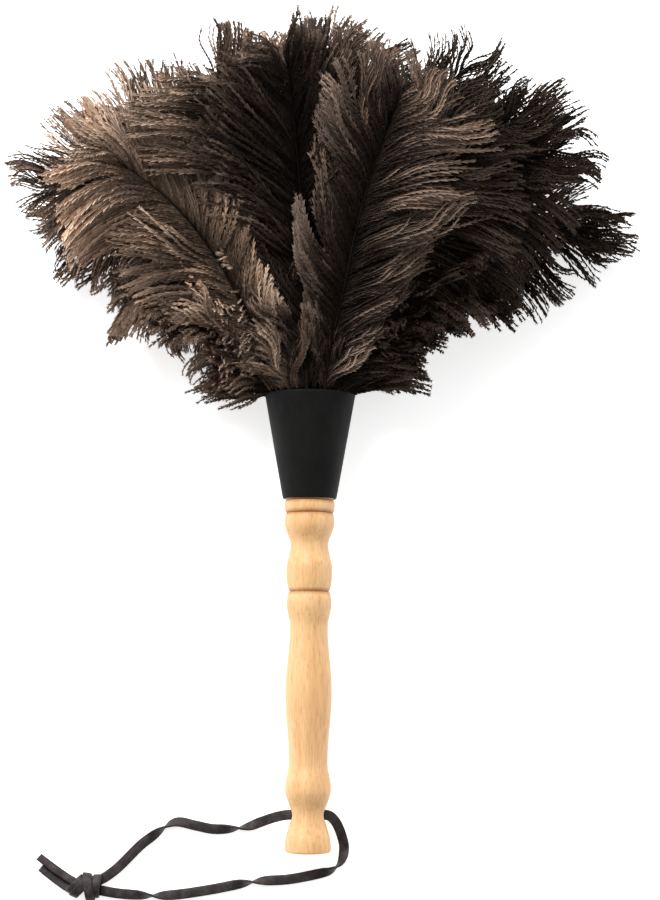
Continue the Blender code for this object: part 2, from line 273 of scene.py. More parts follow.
BARB_SEED = 100
BARB_SPACING = {"core": 0.00110, "inner": 0.00090, "middle": 0.00068, "outer": 0.00045}
BARB_CROWDING = 1.15  # the barbs stand closer at the base of the shaft
BARB_LENGTH = 0.060
BARB_RADIUS = 0.00027
BARB_SECTIONS = 18
BARB_END = 0.975  # place of the last section but one, before the blunt end
BLUNT_END = 0.40  # share of its neighbour's radius that the last section has

# Root's share of the full thickness, where that is reached, and the tip's share.
BARB_SLIMNESS = (0.45, 0.40, 0.55)
BARBULE_SLIMNESS = (0.45, 0.5, 0.75)

# These tables give a value for a barb by its place on the shaft, from 0 at the mouth to 1 at the
# shaft's end: its length as a share of the longest, the angle in degrees by which it leaves the
# shaft, and how many degrees it turns further on its way.
LENGTHS = ((0.0, 0.50), (0.12, 0.75), (0.30, 0.97), (0.5, 1.0), (0.8, 0.76), (1.0, 0.42))
LEAVES = ((0.0, 14.0), (0.06, 24.0), (0.25, 33.0), (0.6, 29.0), (0.9, 22.0), (1.0, 10.0))
ARCHES = ((0.0, 2.0), (0.3, 10.0), (0.8, 12.0), (1.0, 8.0))
BASE_RUN = 0.22  # the barbs up to this place make the feather's fluffy base

# What the droop of the outer barbs adds to those angles.
HANG_FADE = 0.50  # place at which the droop begins to fade out
HANG_FADE_RUN = 0.45
HANG_LEAVE = 20.0
HANG_ARCH = 44.0
FLUFF_LEAVE = 50.0  # at the base, at most
SIDE_ARCH = -8.0  # for the barbs that don't droop, on a feather at the head's side

# Differences from barb to barb, as standard deviations, shares of the length or most lifts.
LENGTH_CHANCE = 0.12
LENGTH_LIMITS = (0.45, 1.22)
LEAVE_CHANCE = 3.5
ARCH_CHANCE = 7.0
LIFT_CHANCE = 0.0010
FLUFF_LIFT = 0.0060
ROOT_SCATTER = 0.0042  # how far beside their shaft the lowest barbs come out of the sleeve
ROOT_SCATTER_RUN = 0.05

# Neighbouring barbs hang together in locks of three sizes.  For each size: the fewest and most
# barbs, how far their ends draw together, and how much the locks differ in lift, in arch
# (degrees), in length (share) and in waviness.
Lock = namedtuple("Lock", "fewest most pull lift arch growth wave")
LOCKS = (
    Lock(24, 52, 0.16, 0.0048, 12.0, 0.07, 0.0022),
    Lock(9, 18, 0.20, 0.0032, 9.0, 0.10, 0.0013),
    Lock(2, 6, 0.32, 0.0020, 7.0, 0.14, 0.0008),
)
LOCK_ARCH_LIMITS = (-2.0, 2.0)  # in standard deviations
LOCK_LIFT_LIMITS = (-1.5, 1.2)
WAVE_TURNS = (0.5, 1.4)  # waves along a barb, at least and at most
PULL_CURVE = 1.8  # how late along the barbs the locks draw together
LIFT_CURVE = 1.1
PUFF = 0.0028  # how far the middle of a barb stands above the flat feather
DROOP = 0.0055  # how far the end of a barb hangs below it
PUFF_RUN = 0.15

# Paleness of a barb's end, how much less of it the base has, and how far along the scale from
# dark to pale a barb starts.  The plume on top loses less, and all its barbs start further on.
END_PALENESS = 0.90
BASE_DULLING = 0.45
HERO_DULLING = 0.20
BASE_START = 0.25
HERO_START = 0.12

# Where the barbs leave the sleeve.
ROOT_PLACE = 0.0005  # distance from the mouth at which a barb under the rim begins
RIM_CLEARANCE = 0.0015
OVERHANG = 0.0090  # how far behind the rim a barb may reach where it is clear of it
OVERHANG_RUN = 0.004

# Each barb is a thin tube of three corners, and each corner carries one row of barbules: the
# corner's number and the row's direction sideways and upwards.
BARB_CORNERS = (90.0, 210.0, 330.0)
BARBULE_ROWS = ((1, -0.80, -0.10), (2, 0.80, -0.10), (0, 0.0, 0.70))
BARBULE_AHEAD = 0.55
BARBULE_LENGTH = 0.0015
BARBULE_GROWTH = (0.60, 1.25)
BARBULE_ASIDE = (-0.25, 0.25)
BARBULE_ABOVE = (-0.30, 0.30)

SHAFT_RADIUS = 0.0009
SHAFT_TAPER = 0.80
SHAFT_START = 0.001 - QUILL_RUN
SHAFT_OVERRUN = 0.008  # the fine point beyond the last barbs
SHAFT_SECTIONS = 36
SHAFT_CORNERS = 8

# Layout of a feather's texture: barbs side by side in rows, each row from the root to the tip.
BAKE_START = 0.02
BAKE_RUN = 0.93
ROW_MARGIN = 0.1
CORNER_STEP = 0.4  # share of a row between two corners of a barb
BARBULE_LEVEL = 0.6
BARBULE_LEAD = 0.03  # how far a barbule's point is ahead of its root, as a share of the barb
SHAFT_STEP = 0.9  # rows between two corners of the shaft
SHAFT_MARGIN = 0.5

# Camera, light and floor ---

CAMERA_LENS = 75.3
CAMERA_SHIFT = 0.12
CAMERA_PLACE = (-0.0020, 0.1000, 0.8900)  # side, along, rise
CAMERA_AIM = (0.0098, 0.1384)  # side, along
CAMERA_ROLL = math.radians(0.23)
KEY_PLACE = (-0.55, 0.85, 1.25)
KEY_SIZE = 0.9
KEY_POWER = 26.0
KEY_AIM = (0.0, 0.0, 0.04)
FLOOR_SIZE = 12.0
FLOOR_TONE = 0.92
FLOOR_GLOW = 0.70


# Numbers ---


def mix(low, high, share):
    return low + (high - low) * share


def smooth_step(value):
    value = np.clip(value, 0.0, 1.0)
    return value * value * (3.0 - 2.0 * value)


def look_up(table, values):
    """What a table of (place, value) rows gives for these places, in straight lines between rows."""
    return np.interp(values, *zip(*table))


def unit(vectors):
    return vectors / np.maximum(np.linalg.norm(vectors, axis=-1, keepdims=True), 1e-12)


def axis_points(side, along, rise):
    """Points at these distances from the handle's axis and butt."""
    side, along, rise = np.broadcast_arrays(side, along, rise)
    return np.stack(
        [
            BUTT.x + side,
            BUTT.y + along * math.cos(TILT) - rise * math.sin(TILT),
            BUTT.z + along * math.sin(TILT) + rise * math.cos(TILT),
        ],
        axis=-1,
    )


# Meshes ---


def tube_faces(index):
    """Quads round tubes of (tubes, sections, points) vertex numbers, and their open ends."""
    turned = np.roll(index, -1, axis=2)
    quads = np.stack([index[:, :-1], turned[:, :-1], turned[:, 1:], index[:, 1:]], axis=-1)
    ends = np.concatenate([index[:, 0, ::-1], index[:, -1]])
    return quads.reshape(-1, 4), ends


def sweep(centres, across, up, outline):
    """Tubes round lines of centres, as vertices, quads and the rows of their open ends.

    centres, across and up are (tubes, sections, 3).  outline is (..., points, 2), where each point
    is a distance across and a distance up.
    """
    vertices = (
        centres[:, :, None, :]
        + outline[..., 0:1] * across[:, :, None, :]
        + outline[..., 1:2] * up[:, :, None, :]
    )
    shape = vertices.shape[:3]
    quads, ends = tube_faces(np.arange(math.prod(shape)).reshape(shape))
    return vertices.reshape(-1, 3), quads, ends


def make_mesh(name, vertices, *groups):
    """A mesh from its vertices and groups of faces, each group an array of equal polygons."""
    mesh = bpy.data.meshes.new(name)
    corners = np.concatenate([group.ravel() for group in groups]).astype(np.int32)
    sizes = np.concatenate([np.full(len(group), group.shape[1]) for group in groups])
    starts = np.concatenate([[0], np.cumsum(sizes)[:-1]]).astype(np.int32)
    mesh.vertices.add(len(vertices))
    mesh.vertices.foreach_set("co", vertices.astype(np.float32).ravel())
    mesh.loops.add(len(corners))
    mesh.loops.foreach_set("vertex_index", corners)
    mesh.polygons.add(len(sizes))
    mesh.polygons.foreach_set("loop_start", starts)
    mesh.update(calc_edges=True)
    mesh.shade_smooth()
    return mesh


def add_piece(name, mesh, material):
    piece = bpy.data.objects.new(name, mesh)
    bpy.context.scene.collection.objects.link(piece)
    mesh.materials.append(material)
    return piece


def stand_for(piece, *nodes):
    """The piece takes the place and the motion of these CAD nodes, which are hidden."""
    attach(piece, "root")
    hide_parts(*nodes)


def revolve(name, outline, closed, segments, material):
    """Turn (along, radius) points round the handle's axis.  The piece's own Z is that axis."""
    outline = np.array(outline)
    turn = np.linspace(0.0, 2.0 * math.pi, segments, endpoint=False)
    radius = outline[:, None, 1]
    height = np.repeat(outline[:, None, 0], segments, axis=1)
    vertices = np.stack([radius * np.cos(turn), radius * np.sin(turn), height], axis=-1)
    index = np.arange(height.size).reshape(1, *height.shape)
    if closed:
        index = np.concatenate([index, index[:, :1]], axis=1)
    quads, ends = tube_faces(index)
    groups = (quads,) if closed else (quads, ends)
    piece = add_piece(name, make_mesh(name, vertices.reshape(-1, 3), *groups), material)
    piece.data.set_sharp_from_angle(angle=SHARP_ANGLE)
    piece.location = BUTT
    piece.rotation_euler = (TILT - math.pi / 2.0, 0.0, 0.0)
    return piece


# Node materials ---


def feed(tree, socket, value):
    """Give a node's input a value, or link it to another node's output.  A colour has no alpha."""
    if isinstance(value, bpy.types.NodeSocket):
        tree.links.new(value, socket)
    elif socket.type == "RGBA":
        socket.default_value = (*value, 1.0)
    else:
        socket.default_value = value


def add_node(tree, kind, inputs=(), **settings):
    """A node with these settings, and with what its inputs get, by their names or numbers."""
    node = tree.nodes.new(kind)
    for key, value in settings.items():
        setattr(node, key, value)
    for key, value in dict(inputs).items():
        feed(tree, node.inputs[key], value)
    return node


def new_material(name, tone, roughness, specular):
    """A material to build on.  The tone is the plain colour for programs that skip its nodes."""
    material = bpy.data.materials.new(name)
    material.use_nodes = True
    tree = material.node_tree
    shader = tree.nodes["Principled BSDF"]
    feed(tree, shader.inputs["Base Color"], tone)
    feed(tree, shader.inputs["Roughness"], roughness)
    feed(tree, shader.inputs["Specular IOR Level"], specular)
    return material, tree, shader


def ramp(tree, share, *stops):
    """A colour ramp over (position, colour) stops."""
    node = add_node(tree, "ShaderNodeValToRGB", {"Fac": share})
    elements = node.color_ramp.elements
    while len(elements) < len(stops):
        elements.new(0.5)
    for element, (position, colour) in zip(elements, stops):
        element.position = position
        element.color = (*colour, 1.0)
    return node.outputs["Color"]


def grey(value):
    return (value, value, value)


def blend_colours(tree, mode, share, first, second):
    inputs = {0: share, 6: first, 7: second}  # by number, because other sockets have these names
    node = add_node(tree, "ShaderNodeMix", inputs, data_type="RGBA", blend_type=mode)
    return node.outputs[2]


def calculate(tree, operation, *values):
    return add_node(tree, "ShaderNodeMath", enumerate(values), operation=operation).outputs[0]


def noise(tree, place, scale, detail=3.0, roughness=0.5, distortion=0.0):
    inputs = {
        "Vector": place,
        "Scale": scale,
        "Detail": detail,
        "Roughness": roughness,
        "Distortion": distortion,
    }
    return add_node(tree, "ShaderNodeTexNoise", inputs).outputs[0]


def object_place(tree, stretch=(1.0, 1.0, 1.0)):
    coordinates = add_node(tree, "ShaderNodeTexCoord")
    inputs = {"Vector": coordinates.outputs["Object"], "Scale": stretch}
    return add_node(tree, "ShaderNodeMapping", inputs).outputs["Vector"]


def bump(tree, shader, height, strength, distance):
    inputs = {"Height": height, "Strength": strength, "Distance": distance}
    node = add_node(tree, "ShaderNodeBump", inputs)
    tree.links.new(node.outputs["Normal"], shader.inputs["Normal"])


def paint_groove_shade(tree, colour):
    """Painted shade in the turned grooves, darkest at each groove's bottom.  The handle's own Z is the
    distance from its butt.
    """
    place = add_node(tree, "ShaderNodeSeparateXYZ", {"Vector": object_place(tree)})
    for groove in GROOVES:
        offset = calculate(tree, "ABSOLUTE", calculate(tree, "SUBTRACT", place.outputs["Z"], groove))
        share = add_node(tree, "ShaderNodeMapRange", {"Value": offset, "From Max": GROOVE_SHADE_REACH})
        # painted shade, darkest at the groove's bottom
        tone = ramp(tree, share.outputs[0], (0.10, (0.52, 0.36, 0.24)), (0.75, grey(1.0)))
        colour = blend_colours(tree, "MULTIPLY", 0.8, colour, tone)
    return colour


def make_beech():
    """Pale beech turned along its grain: fine pores, short darker rays and broad soft streaks."""
    material, tree, shader = new_material("beech", (0.81, 0.51, 0.25), 0.42, 0.35)
    broad = noise(tree, object_place(tree, (1.0, 1.0, 0.10)), 110.0, 3.0, 0.55, 0.6)
    pores = noise(tree, object_place(tree, (1.0, 1.0, 0.045)), 1500.0, 4.0, 0.65)
    rays = noise(tree, object_place(tree, (1.0, 1.0, 0.16)), 900.0, 2.0, 0.6)
    patches = noise(tree, object_place(tree), 70.0, 2.0, 0.5)
    colour = ramp(
        tree,
        broad,
        (0.30, (0.865, 0.562, 0.296)),
        (0.50, (0.810, 0.508, 0.250)),
        (0.70, (0.735, 0.434, 0.202)),
    )
    warm = ramp(tree, patches, (0.35, (1.0, 1.0, 1.0)), (0.75, (0.98, 0.90, 0.84)))
    colour = blend_colours(tree, "MULTIPLY", 0.8, colour, warm)
    pore_tone = ramp(tree, pores, (0.36, (0.84, 0.77, 0.68)), (0.56, grey(1.0)))
    colour = blend_colours(tree, "MULTIPLY", 0.8, colour, pore_tone)
    ray_tone = ramp(tree, rays, (0.30, (0.74, 0.60, 0.48)), (0.42, grey(1.0)))
    colour = blend_colours(tree, "MULTIPLY", 0.55, colour, ray_tone)
    # painted shade in the turned grooves
    colour = paint_groove_shade(tree, colour)
    tree.links.new(colour, shader.inputs["Base Color"])
    gloss = ramp(tree, pores, (0.35, grey(0.58)), (0.60, grey(0.40)))
    tree.links.new(gloss, shader.inputs["Roughness"])
    bump(tree, shader, calculate(tree, "ADD", pores, rays), 0.25, 0.00012)
    return material


def make_sleeve_black():
    """Matt black, very finely grained, a little greyer where it is rubbed."""
    material, tree, shader = new_material("sleeve_black", (0.008, 0.008, 0.0075), 0.70, 0.09)
    grain = noise(tree, object_place(tree), 2600.0, 3.0, 0.6)
    wear = noise(tree, object_place(tree, (1.0, 1.0, 0.5)), 120.0, 4.0, 0.6)
    colour = ramp(tree, wear, (0.30, (0.0055, 0.0058, 0.0054)), (0.75, (0.0098, 0.0101, 0.0093)))
    specks = ramp(tree, grain, (0.35, grey(0.75)), (0.65, grey(1.25)))
    colour = blend_colours(tree, "MULTIPLY", 1.0, colour, specks)
    tree.links.new(colour, shader.inputs["Base Color"])
    tree.links.new(ramp(tree, wear, (0.3, grey(0.66)), (0.7, grey(0.54))), shader.inputs["Roughness"])
    bump(tree, shader, grain, 0.30, 0.00010)
    return material


def make_thread():
    """Cotton thread wound round the quills."""
    material, tree, shader = new_material("binding_thread", (0.47, 0.42, 0.34), 0.85, 0.2)
    fibres = noise(tree, object_place(tree), 1500.0, 3.0, 0.6)
    colour = ramp(tree, fibres, (0.3, (0.34, 0.30, 0.24)), (0.7, (0.60, 0.55, 0.45)))
    tree.links.new(colour, shader.inputs["Base Color"])
    bump(tree, shader, fibres, 0.5, 0.0002)
    return material


def make_leather():
    """Dark brown leather lace with a fine grain and paler, rubbed places."""
    material, tree, shader = new_material("lace_leather", (0.030, 0.022, 0.022), 0.52, 0.32)
    grain = noise(tree, object_place(tree), 2200.0, 4.0, 0.65)
    rubbed = noise(tree, object_place(tree), 260.0, 3.0, 0.6)
    colour = ramp(
        tree,
        rubbed,
        (0.32, (0.014, 0.0100, 0.0100)),
        (0.52, (0.028, 0.0200, 0.0200)),
        (0.72, (0.062, 0.0455, 0.0450)),
    )
    specks = ramp(tree, grain, (0.35, grey(0.70)), (0.62, grey(1.20)))
    colour = blend_colours(tree, "MULTIPLY", 1.0, colour, specks)
    tree.links.new(colour, shader.inputs["Base Color"])
    gloss = ramp(tree, grain, (0.3, grey(0.62)), (0.7, grey(0.45)))
    tree.links.new(gloss, shader.inputs["Roughness"])
    bump(tree, shader, grain, 0.45, 0.00012)
    return material


PLUME_TONES = {
    "plume_taupe": ((0.110, 0.076, 0.055), (0.430, 0.303, 0.218), (0.95, 0.73, 0.560)),
    "plume_brown": ((0.045, 0.030, 0.022), (0.165, 0.113, 0.082), (0.54, 0.395, 0.295)),
    "plume_dark": ((0.0110, 0.0077, 0.0060), (0.044, 0.0305, 0.0230), (0.340, 0.245, 0.188)),
}


def make_plume(slot):
    """Ostrich barbs: dark at the root, paler towards the tip, each a little different.

    The mesh's "fibre" colour gives the share of the way along the barb, a number for the barb and
    a number for its lock, and its alpha says how pale the barb's end is.
    """
    root, middle, tip = PLUME_TONES[slot]
    material, tree, shader = new_material(slot, middle, 0.62, 0.10)
    fibre = add_node(tree, "ShaderNodeAttribute", attribute_name="fibre")
    parts = add_node(tree, "ShaderNodeSeparateColor", {"Color": fibre.outputs["Color"]})
    reach, barb, lock = parts.outputs[0], parts.outputs[1], parts.outputs[2]
    shift = calculate(tree, "MULTIPLY_ADD", barb, 0.28, -0.14)
    place = calculate(tree, "ADD", reach, shift)
    colour = ramp(tree, place, (0.0, root), (0.60, middle))
    end = add_node(tree, "ShaderNodeMapRange", {"Value": place, "From Min": 0.50, "From Max": 1.02})
    paleness = calculate(tree, "MULTIPLY", end.outputs[0], fibre.outputs["Alpha"])
    colour = blend_colours(tree, "MIX", paleness, colour, tip)
    # Partly painted shade: each lock gets a random tone, darker as if it lay deep in the plume and
    # lighter as if it lay on top; partly the locks' own tone.
    depth = ramp(tree, lock, (0.0, grey(0.62)), (1.0, grey(1.25)))
    colour = blend_colours(tree, "MULTIPLY", 1.0, colour, depth)
    cloud = noise(tree, object_place(tree), 45.0, 3.0, 0.6)
    tint = ramp(tree, cloud, (0.35, (1.06, 1.00, 0.95)), (0.65, (0.92, 0.92, 0.95)))
    colour = blend_colours(tree, "MULTIPLY", 0.8, colour, tint)
    tree.links.new(colour, shader.inputs["Base Color"])
    return material


def make_shaft_horn():
    """Horny dark feather shaft, smoother than the barbs."""
    material, tree, shader = new_material("feather_shaft", (0.009, 0.007, 0.005), 0.50, 0.06)
    streaks = noise(tree, object_place(tree), 500.0, 2.0, 0.5)
    colour = ramp(tree, streaks, (0.3, (0.005, 0.0038, 0.003)), (0.7, (0.013, 0.0098, 0.0075)))
    tree.links.new(colour, shader.inputs["Base Color"])
    return material


# Handle and sleeve ---


def curve_share(kind, share):
    """How far the radius has changed when this share of a turned stretch is passed."""
    if kind == "swell":
        return (1.0 - math.cos(math.pi * share)) / 2.0
    if kind == "crest":
        return math.sqrt(1.0 - (1.0 - share) ** 2)
    if kind == "fall":
        return 1.0 - math.sqrt(1.0 - share**2)
    return share


def handle_outline():
    """(along, radius) points from the rim of the butt to the rim of the spigot's end."""
    outline = [HANDLE_TURNING[0][:2]]
    for start, end in zip(HANDLE_TURNING, HANDLE_TURNING[1:]):
        for step in range(1, TURNING_STEPS + 1):
            share = step / TURNING_STEPS
            radius = mix(start[1], end[1], curve_share(end[2], share))
            outline.append((mix(start[0], end[0], share), radius))
    seat = SLEEVE_WALL + SEAT_PLAY
    outline += [
        (SLEEVE_BOTTOM, sleeve_radius(SLEEVE_BOTTOM) - seat),
        (SEAT_END, sleeve_radius(SEAT_END) - seat),
        (SEAT_END, SPIGOT_RADIUS),
        (SPIGOT_END - SPIGOT_BEVEL, SPIGOT_RADIUS),
        (SPIGOT_END, SPIGOT_RADIUS - SPIGOT_BEVEL),
    ]
    return outline


def sleeve_radius(along):
    share = (along - SLEEVE_BOTTOM) / (MOUTH - SLEEVE_BOTTOM)
    return mix(SLEEVE_BOTTOM_RADIUS, SLEEVE_MOUTH_RADIUS, share)


def make_hole_cutter(material):
    """Body of the cross hole, which opens out a little where the lace rubs its edges."""
    outline = [(-CUTTER_REACH, CUTTER_END_RADIUS)]
    for step in range(HOLE_STEPS + 1):
        across = mix(-HOLE_HALF_RUN, HOLE_HALF_RUN, step / HOLE_STEPS)
        opening = max(0.0, (abs(across) - HOLE_FLARE_START) / HOLE_FLARE_RUN)
        outline.append((across, LACE_HOLE_RADIUS + HOLE_FLARE * opening**2))
    outline.append((CUTTER_REACH, CUTTER_END_RADIUS))
    cutter = revolve("lace_hole_cutter", outline, False, HOLE_SEGMENTS, material)
    cutter.location = Vector(axis_points(0.0, LACE_HOLE_ALONG, 0.0))
    cutter.rotation_euler = (0.0, math.pi / 2.0, 0.0)
    return cutter


def make_handle(material):
    handle = revolve("turned_handle", handle_outline(), False, HANDLE_SEGMENTS, material)
    cutter = make_hole_cutter(material)
    hole = handle.modifiers.new("lace_hole", "BOOLEAN")
    hole.operation = "DIFFERENCE"
    hole.solver = "EXACT"
    hole.object = cutter
    bpy.context.view_layer.update()
    cut = handle.evaluated_get(bpy.context.evaluated_depsgraph_get())
    handle.data = bpy.data.meshes.new_from_object(cut)
    handle.modifiers.clear()
    handle.data.set_sharp_from_angle(angle=SHARP_ANGLE)
    bpy.data.objects.remove(cutter, do_unlink=True)
    stand_for(handle, "handle")


def sleeve_rim(edge, way):
    """Half circle round one rim of the sleeve.  The way is 1 at the mouth and -1 at the bottom."""
    half_wall = SLEEVE_WALL / 2.0
    middle = sleeve_radius(edge) - half_wall
    points = []
    for step in range(RIM_STEPS + 1):
        turn = math.pi * step / RIM_STEPS
        along = edge - way * half_wall + way * half_wall * math.sin(turn)
        points.append((along, middle + way * half_wall * math.cos(turn)))
    return points


def make_sleeve(material):
    """The cone, with both rims rounded."""
    outside = []
    for step in range(1, SLEEVE_STEPS):
        share = step / SLEEVE_STEPS
        along = mix(SLEEVE_BOTTOM + SLEEVE_WALL / 2.0, MOUTH - SLEEVE_WALL / 2.0, share)
        outside.append((along, sleeve_radius(along)))
    outline = sleeve_rim(SLEEVE_BOTTOM, -1) + outside + sleeve_rim(MOUTH, 1)
    sleeve = revolve("black_sleeve", outline, True, SLEEVE_SEGMENTS, material)
    stand_for(sleeve, "sleeve")


def finish_bindings(material):
    for ring in RINGS:
        binding = frame["nodes"][f"binding_{ring.name}"]
        binding.data.materials.clear()
        binding.data.materials.append(material)


# Lace ---


def spline_point(before, start, end, after, share):
    """Point on the smooth curve from start to end that also heeds the points beside them."""
    return 0.5 * (
        2.0 * start
        + (end - before) * share
        + (2.0 * before - 5.0 * start + 4.0 * end - after) * share**2
        + (3.0 * start - before - 3.0 * end + after) * share**3
    )


def smooth_route(route, spacing):
    """Points about this far apart on one smooth curve through the route's own points."""
    knots = [Vector(point) + Vector((BUTT.x, BUTT.y, 0.0)) for point in route]
    knots = [2.0 * knots[0] - knots[1]] + knots + [2.0 * knots[-1] - knots[-2]]
    points = [knots[1]]
    for index in range(1, len(knots) - 2):
        before, start, end, after = knots[index - 1 : index + 3]
        steps = max(1, round((end - start).length / spacing))
        for step in range(1, steps + 1):
            points.append(spline_point(before, start, end, after, step / steps))
    return np.array(points)


def travelled(points):
    """Distance along the line at each of its points."""
    steps = np.linalg.norm(np.diff(points, axis=0), axis=1)
    return np.concatenate([[0.0], np.cumsum(steps)])


def lace_section(width, corner_points=4):
    """Outline of the strip's rounded section, as distances across and up."""
    outline = []
    for quarter in range(4):
        across = (width / 2.0 - LACE_CORNER) * (1.0 if quarter in (0, 3) else -1.0)
        up = (LACE_THICKNESS / 2.0 - LACE_CORNER) * (1.0 if quarter in (0, 1) else -1.0)
        for step in range(corner_points):
            turn = math.pi / 2.0 * (quarter + step / (corner_points - 1))
            outline.append((across + LACE_CORNER * math.cos(turn), up + LACE_CORNER * math.sin(turn)))
    return np.array(outline)


def strip_frame(points, turn):
    """Directions across and up of a strip that is turned by these angles from lying flat."""
    ahead = unit(np.gradient(points, axis=0))
    level = unit(np.cross(np.array([0.0, 0.0, 1.0]), ahead))
    above = np.cross(ahead, level)
    cosine = np.cos(turn)[:, None]
    sine = np.sin(turn)[:, None]
    return level * cosine + above * sine, above * cosine - level * sine


def make_strip(name, points, turn, width, material):
    across, up = strip_frame(points, turn)
    vertices, quads, ends = sweep(points[None], across[None], up[None], lace_section(width))
    return add_piece(name, make_mesh(name, vertices, quads, ends), material)


def clear_of_floor(points, turn, width):
    """Lift the line so that the turned strip round it only touches the floor."""
    extent = np.abs(np.sin(turn)) * width / 2.0 + np.abs(np.cos(turn)) * LACE_THICKNESS / 2.0
    lifted = points.copy()
    lifted[:, 2] = np.maximum(lifted[:, 2], extent + FLOOR_GAP)
    return lifted


def make_strand(name, route, twists, material):
    points = smooth_route(route, LACE_STEP)
    distance = travelled(points)
    turn = np.zeros(len(points))
    for x, y in twists:
        spot = np.array([BUTT.x + x, BUTT.y + y])
        at = distance[np.argmin(np.linalg.norm(points[:, :2] - spot, axis=1))]
        turn += math.pi * smooth_step((distance - at) / TWIST_RUN + 0.5)
    points = clear_of_floor(points, turn, LACE_WIDTH)
    piece = make_strip(name, points, turn, LACE_WIDTH, material)
    stand_for(piece, name.replace("_strand", ""))
    return piece, points


def make_tail(name, route, tilt, width, material):
    points = smooth_route((TAIL_ROOT,) + route, LACE_STEP)
    turn = np.full(len(points), math.radians(tilt))
    points = clear_of_floor(points, turn, width)
    piece = make_strip(name, points, turn, width, material)
    stand_for(piece, name.replace("_strip", ""))
    return piece


def knot_turn_lines(bend):
    """Line of one turn of the knot, with the strip's directions across and outwards."""
    turn = np.linspace(0.0, 2.0 * math.pi, KNOT_STEPS, endpoint=False)[:, None]
    heading = math.radians(bend.heading)
    ahead = np.array([math.cos(heading), -math.sin(heading), 0.0])
    level = np.array([math.sin(heading), math.cos(heading), 0.0])
    upright = np.array([0.0, 0.0, 1.0])
    drift = math.tan(math.radians(bend.slant)) * bend.half_across * np.cos(turn)
    line = (
        np.array(bend.centre)
        + np.array([BUTT.x, BUTT.y, 0.0])
        + bend.half_across * np.cos(turn) * level
        + bend.half_up * np.sin(turn) * upright
        + drift * ahead
    )
    outward = unit(np.cos(turn) / bend.half_across * level + np.sin(turn) / bend.half_up * upright)
    around = unit(np.roll(line, -1, axis=0) - np.roll(line, 1, axis=0))
    return line, unit(np.cross(around, outward)), outward


def make_knot(material):
    """Overhand knot of the two ends together: turns of the strip round the bundle."""
    outline = lace_section(KNOT_WIDTH)
    vertices, quads = [], []
    count = 0
    for bend in KNOT_TURNS:
        closed = [np.concatenate([part, part[:1]])[None] for part in knot_turn_lines(bend)]
        points, faces, _ = sweep(*closed, outline)
        last = len(points) - len(outline)
        vertices.append(points[:last])
        quads.append(np.where(faces >= last, faces - last, faces) + count)
        count += last
    mesh = make_mesh("lace_knot_turns", np.concatenate(vertices), np.concatenate(quads))
    knot = add_piece("lace_knot_turns", mesh, material)
    stand_for(knot, "lace_knot")
    return knot


def make_lace(material):
    left, left_line = make_strand("lace_left_strand", LACE_LEFT, TWISTS_LEFT, material)
    right, right_line = make_strand("lace_right_strand", LACE_RIGHT, TWISTS_RIGHT, material)
    knot = make_knot(material)
    tails = [
        make_tail("lace_tail_long_strip", TAIL_LONG, TAIL_LONG_TILT, TAIL_LONG_WIDTH, material),
        make_tail("lace_tail_short_strip", TAIL_SHORT, TAIL_SHORT_TILT, TAIL_SHORT_WIDTH, material),
    ]


# Feathers ---

Feather = namedtuple("Feather", "name ring level angle length slot seed")
Shades = namedtuple("Shades", "barb lock paleness start end")
Layout = namedtuple("Layout", "along row level")


def list_feathers():
    """Every feather of the head, with the same chances drawn in the same order as in the CAD."""
    chance = random.Random(FEATHER_SEED)
    feathers = []
    for ring in RINGS:
        spacing = 2.0 * math.pi / ring.count
        for index in range(ring.count):
            angle = math.radians(ring.first_angle) + index * spacing
            angle += chance.uniform(-ANGLE_CHANCE, ANGLE_CHANCE) * spacing
            length = ring.length * chance.uniform(SHORTEST, 1.0)
            length *= 1.0 + RIGHT_GROWTH * math.cos(angle)
            name = f"feather_{ring.name}_{index + 1:02d}"
            level = ring.levels[index % 2]
            feathers.append(Feather(name, ring, level, angle, length, SLOT_OF[name], len(feathers)))
    return feathers


def start_lean(ring):
    """Lean of the ring's quills away from the axis, inside the sleeve."""
    return math.atan((ring.mouth_radius - ring.end_radius) / QUILL_RUN)


def full_lean(feather, angle):
    """Lean at the far end of the feather's shell, which is greater at the sides than on top."""
    upright = mix(*LEAN_UP, feather.level)
    sideways = mix(*LEAN_SIDE, feather.level)
    return mix(upright, sideways, np.cos(angle) ** 2)


def shell_bend(feather, angle):
    """How fast the lean of the shell grows with the distance from the mouth."""
    return (full_lean(feather, angle) - start_lean(feather.ring)) / BEND_LENGTH


def shell_lean(feather, distance, angle):
    """Lean of the shell away from the axis."""
    return start_lean(feather.ring) + shell_bend(feather, angle) * np.maximum(distance, 0.0)


def shell_radius(feather, distance, angle):
    """Distance of the shell from the axis."""
    fallen = math.cos(start_lean(feather.ring)) - np.cos(shell_lean(feather, distance, angle))
    return feather.ring.mouth_radius + fallen / shell_bend(feather, angle)


def shell_points(feather, distance, angle, lift):
    """Points on the feather's shell: this far from the mouth, at this angle, and lifted off it."""
    start = start_lean(feather.ring)
    lean = shell_lean(feather, distance, angle)
    inside = np.minimum(distance, 0.0)
    radius = shell_radius(feather, distance, angle) + inside * math.tan(start)
    radius = radius + lift * np.cos(lean)
    along = MOUTH + (np.sin(lean) - math.sin(start)) / shell_bend(feather, angle)
    along = along + inside - lift * np.sin(lean)
    rise = settle(radius * np.sin(angle), along, distance, feather.level)
    points = axis_points(radius * np.cos(angle), along, rise)
    points[..., 2] = np.maximum(points[..., 2], FLOOR_GAP * 2.0)
    return points


def settle(rise, along, distance, level):
    """Flatten what lies below the axis, so that it rests on the floor and not through it."""
    room = (BUTT.z + along * math.sin(TILT)) / math.cos(TILT) - FLOOR_ROOM
    depth = mix(FREE_DEPTH, room * mix(*FLOOR_SHARE, level), smooth_step(distance / SETTLE_START))
    return np.where(rise >= 0.0, rise, -depth * np.tanh(-rise / depth))


